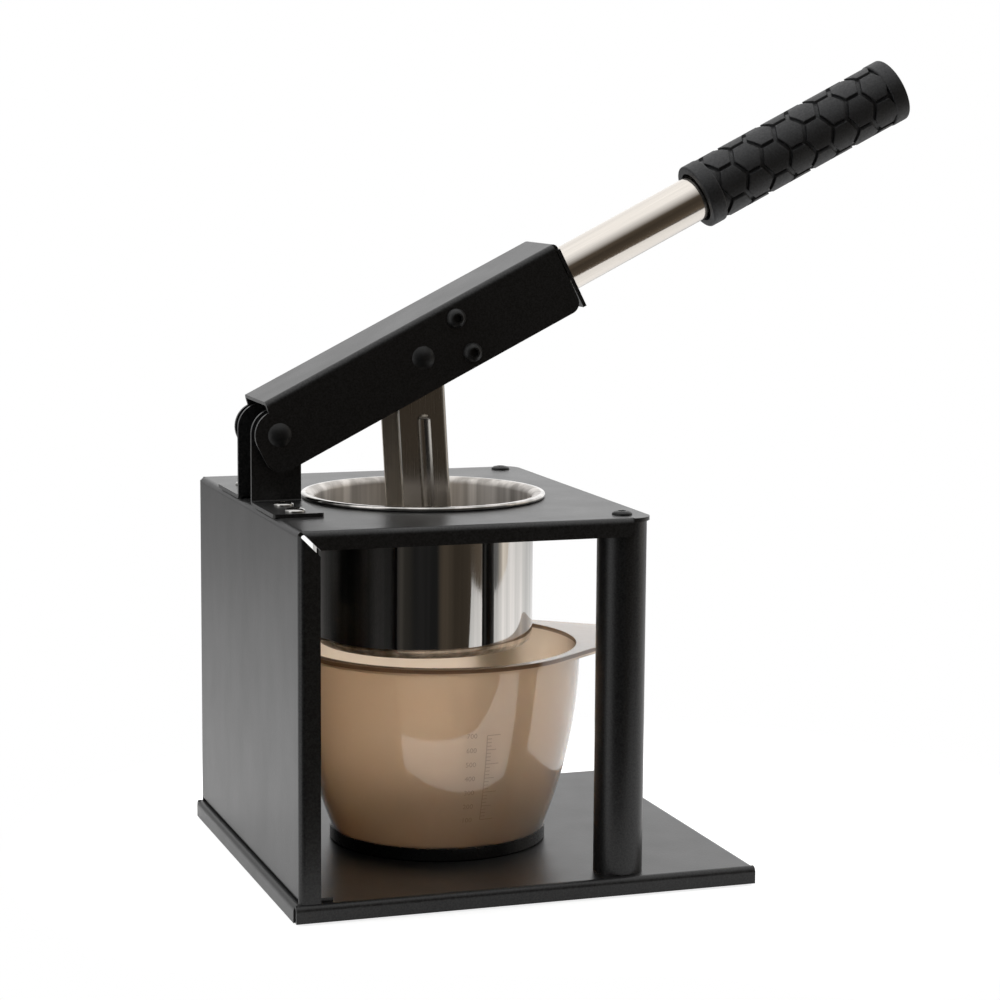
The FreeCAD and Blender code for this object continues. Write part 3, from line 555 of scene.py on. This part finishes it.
def on_jug(degrees, height, proud):
    """A point on the jug's side, straight ahead being the side that faces the camera."""
    drop = JUG_TOP - height
    radius = JUG_TOP_RADIUS - JUG_SIDE_ARC + math.sqrt(JUG_SIDE_ARC ** 2 - drop ** 2) + proud
    angle = math.radians(degrees)
    return Vector((JUG_AXIS + radius * math.sin(angle), -radius * math.cos(angle), height))


def degrees_for(width, height):
    return math.degrees(width / (on_jug(0, height, 0) - Vector((JUG_AXIS, 0, height))).length)


def raised(name, flat, faces, material):
    """A mesh from points (degrees, height) and faces, raised a little from the jug's side."""
    count = len(flat)
    points = [on_jug(a, h, proud) for proud in (SCALE_CLEAR, SCALE_PROUD) for a, h in flat]
    sides = dict.fromkeys(pair for face in faces for pair in zip(face, face[1:] + face[:1]))
    edges = [(a, b) for a, b in sides if (b, a) not in sides]
    solid = [tuple(i + count for i in face) for face in faces]
    solid += [tuple(reversed(face)) for face in faces]
    solid += [(a, b, b + count, a + count) for a, b in edges]
    mesh = bpy.data.meshes.new(name)
    mesh.from_pydata(points, [], solid)
    piece = bpy.data.objects.new(name, mesh)
    bpy.context.scene.collection.objects.link(piece)
    mesh.materials.append(material)
    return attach(piece, "jug")


def strip(low, high, left, right, steps):
    """Points and faces of a straight mark between two heights and two directions."""
    points, faces = [], []
    for step in range(steps + 1):
        part = step / steps
        if right - left < SCALE_NARROW:
            height = low + (high - low) * part
            points += [(left, height), (right, height)]
        else:
            angle = left + (right - left) * part
            points += [(angle, high), (angle, low)]
        if step:
            faces.append((2 * step - 2, 2 * step - 1, 2 * step + 1, 2 * step))
    return points, faces


def scale_lines():
    top = SCALE_START + (SCALE_COUNT - 1) * SCALE_STEP
    half = degrees_for(SCALE_STROKE / 2, SCALE_START)
    line = strip(SCALE_START, top, SCALE_LINE - half, SCALE_LINE + half, LINE_STEPS)
    raised("jug_scale_line", *line, MARKS)
    for mark in range(4 * (SCALE_COUNT - 1) + 1):
        height = SCALE_START + mark * SCALE_STEP / 4
        length = TICK_SHORT if mark % 4 else TICK_MIDDLE if mark // 4 % 2 else TICK_LONG
        right = SCALE_LINE + degrees_for(length, height)
        tick = strip(height - SCALE_STROKE / 2, height + SCALE_STROKE / 2, SCALE_LINE, right, TICK_STEPS)
        raised(f"jug_scale_tick_{mark + 1}", *tick, MARKS)


def scale_numbers():
    for index in range(SCALE_COUNT):
        curve = bpy.data.curves.new("number", "FONT")
        curve.body = str(100 * (index + 1))
        curve.size = NUMBER_SIZE
        curve.align_x, curve.align_y = "CENTER", "CENTER"
        curve.resolution_u = 3
        letter = bpy.data.objects.new("number", curve)
        bpy.context.scene.collection.objects.link(letter)
        mesh = bpy.data.meshes.new_from_object(letter)
        height = SCALE_START + index * SCALE_STEP
        flat = [(SCALE_NUMBERS + degrees_for(v.co.x, height), height + v.co.y) for v in mesh.vertices]
        faces = [tuple(p.vertices) for p in mesh.polygons]
        bpy.data.objects.remove(letter)
        raised(f"jug_scale_number_{index + 1}", flat, faces, NUMBERS)


# Stage


def floor():
    """A white sheet that ends in front of the press; for the camera it fades to pure white."""
    mesh = bpy.data.meshes.new("floor")
    corners = [(x, y, 0) for x, y in FLOOR_EDGE]
    corners += [(FLOOR_EDGE[-1][0], FLOOR_BACK, 0), (FLOOR_EDGE[0][0], FLOOR_BACK, 0)]
    mesh.from_pydata(corners, [], [tuple(range(len(corners)))])
    plane = bpy.data.objects.new("floor", mesh)
    bpy.context.scene.collection.objects.link(plane)
    s = Surface("floor_white", Roughness=0.9)
    s.colour(s.ramp(s.noise(3, 2.0), (0.3, 0.44), (0.7, 0.46)))
    seen = s.add("ShaderNodeLightPath").outputs["Is Camera Ray"]
    glossy = s.add("ShaderNodeLightPath").outputs["Is Glossy Ray"]
    apart = s.maths("ShaderNodeVectorMath", "LENGTH", s.place).outputs["Value"]
    near = s.span(apart, SHINE_START, SHINE_END, FLOOR_SHINE, 0.0)
    shine = s.maths("ShaderNodeMath", "MULTIPLY", near, glossy).outputs[0]
    strength = s.maths("ShaderNodeMath", "MULTIPLY_ADD", seen, FLOOR_GLOW, shine).outputs[0]
    glow = s.add("ShaderNodeEmission", Strength=strength)
    lit = s.add("ShaderNodeAddShader")
    s.feed(lit.inputs[0], s.shader.outputs[0])
    s.feed(lit.inputs[1], glow.outputs[0])
    far = s.add("ShaderNodeMapRange", Value=apart, From_Min=FADE_START, From_Max=FADE_END)
    far.interpolation_type = "SMOOTHSTEP"
    pure = s.maths("ShaderNodeMath", "MULTIPLY", far.outputs[0], seen).outputs[0]
    both = s.add("ShaderNodeMixShader", Fac=pure)
    s.feed(both.inputs[1], lit.outputs[0])
    s.feed(both.inputs[2], s.add("ShaderNodeEmission").outputs[0])
    s.feed(s.tree.nodes["Material Output"].inputs["Surface"], both.outputs[0])
    mesh.materials.append(s.material)


def studio():
    """White behind the object for the camera, and for light and gloss a room that is dim in front."""
    world = bpy.data.worlds.new("studio")
    bpy.context.scene.world = world
    world.use_nodes = True
    tree = world.node_tree
    tree.nodes.clear()
    add, join = tree.nodes.new, tree.links.new
    way = add("ShaderNodeTexCoord")
    parts = add("ShaderNodeSeparateXYZ")
    join(way.outputs["Generated"], parts.inputs[0])
    turn = add("ShaderNodeMath")
    turn.operation = "ARCTAN2"
    join(parts.outputs["Y"], turn.inputs[0])
    join(parts.outputs["X"], turn.inputs[1])
    around = add("ShaderNodeMapRange")
    around.inputs["From Min"].default_value = -math.pi
    around.inputs["From Max"].default_value = math.pi
    join(turn.outputs[0], around.inputs["Value"])
    bands = add("ShaderNodeValToRGB")
    bands.color_ramp.interpolation = "EASE"
    marks = bands.color_ramp.elements
    for index, (degrees, light, tint) in enumerate(STUDIO):
        at = (degrees + 180) / 360
        mark = marks[index] if index < 2 else marks.new(at)
        mark.position = at
        mark.color = (*(light * part for part in tint), 1)
    join(around.outputs[0], bands.inputs[0])
    height = add("ShaderNodeMapRange")
    height.inputs["From Min"].default_value = ROOF_LOW
    height.inputs["From Max"].default_value = ROOF_HIGH
    join(parts.outputs["Z"], height.inputs["Value"])
    above = add("ShaderNodeMix")
    above.data_type = "RGBA"
    join(height.outputs[0], above.inputs["Factor"])
    join(bands.outputs[0], above.inputs["A"])
    above.inputs["B"].default_value = (ROOF, ROOF, ROOF, 1)
    room = add("ShaderNodeBackground")
    room.inputs["Strength"].default_value = WORLD_LIGHT
    join(above.outputs["Result"], room.inputs["Color"])
    gloss = add("ShaderNodeBackground")
    gloss.inputs["Strength"].default_value = WORLD_GLOSS
    join(above.outputs["Result"], gloss.inputs["Color"])
    white = add("ShaderNodeBackground")
    white.inputs["Color"].default_value = (1, 1, 1, 1)
    rays = add("ShaderNodeLightPath")
    shiny = add("ShaderNodeMixShader")
    join(rays.outputs["Is Glossy Ray"], shiny.inputs[0])
    join(room.outputs[0], shiny.inputs[1])
    join(gloss.outputs[0], shiny.inputs[2])
    through = add("ShaderNodeMath")
    through.operation = "MAXIMUM"
    join(rays.outputs["Is Camera Ray"], through.inputs[0])
    join(rays.outputs["Is Transmission Ray"], through.inputs[1])
    seen = add("ShaderNodeMixShader")
    join(through.outputs[0], seen.inputs[0])
    join(shiny.outputs[0], seen.inputs[1])
    join(white.outputs[0], seen.inputs[2])
    out = add("ShaderNodeOutputWorld")
    join(seen.outputs[0], out.inputs["Surface"])


def softbox(name, place, size, power):
    data = bpy.data.lights.new(name, "AREA")
    data.shape = "RECTANGLE"
    data.size, data.size_y = size
    data.energy = power
    lamp = bpy.data.objects.new(name, data)
    bpy.context.scene.collection.objects.link(lamp)
    lamp.visible_glossy = False
    lamp.location = place
    lamp.rotation_euler = (Vector(AIM) - Vector(place)).to_track_quat("-Z", "Y").to_euler()


def camera():
    yaw, pitch, roll = (math.radians(v) for v in (CAMERA_YAW, CAMERA_PITCH, CAMERA_ROLL))
    back = Vector((math.sin(yaw) * math.cos(pitch), -math.cos(yaw) * math.cos(pitch), math.sin(pitch)))
    right = Vector((math.cos(yaw), math.sin(yaw), 0))
    up = back.cross(right)
    across = math.cos(roll) * right + math.sin(roll) * up
    upward = math.cos(roll) * up - math.sin(roll) * right
    data = bpy.data.cameras.new("camera")
    data.lens = LENS
    data.sensor_width = SENSOR
    data.clip_start, data.clip_end = NEAREST, FARTHEST
    eye = bpy.data.objects.new("camera", data)
    bpy.context.scene.collection.objects.link(eye)
    eye.matrix_world = Matrix((across, upward, back)).transposed().to_4x4()
    eye.location = CAMERA_PLACE
    bpy.context.scene.camera = eye


def main():
    dress_frame()
    strainer_cup()
    button_screws()
    scale_lines()
    scale_numbers()
    floor()
    studio()
    for lamp in LAMPS:
        softbox(*lamp)
    camera()
    bpy.context.scene.view_settings.view_transform = "Standard"


main()
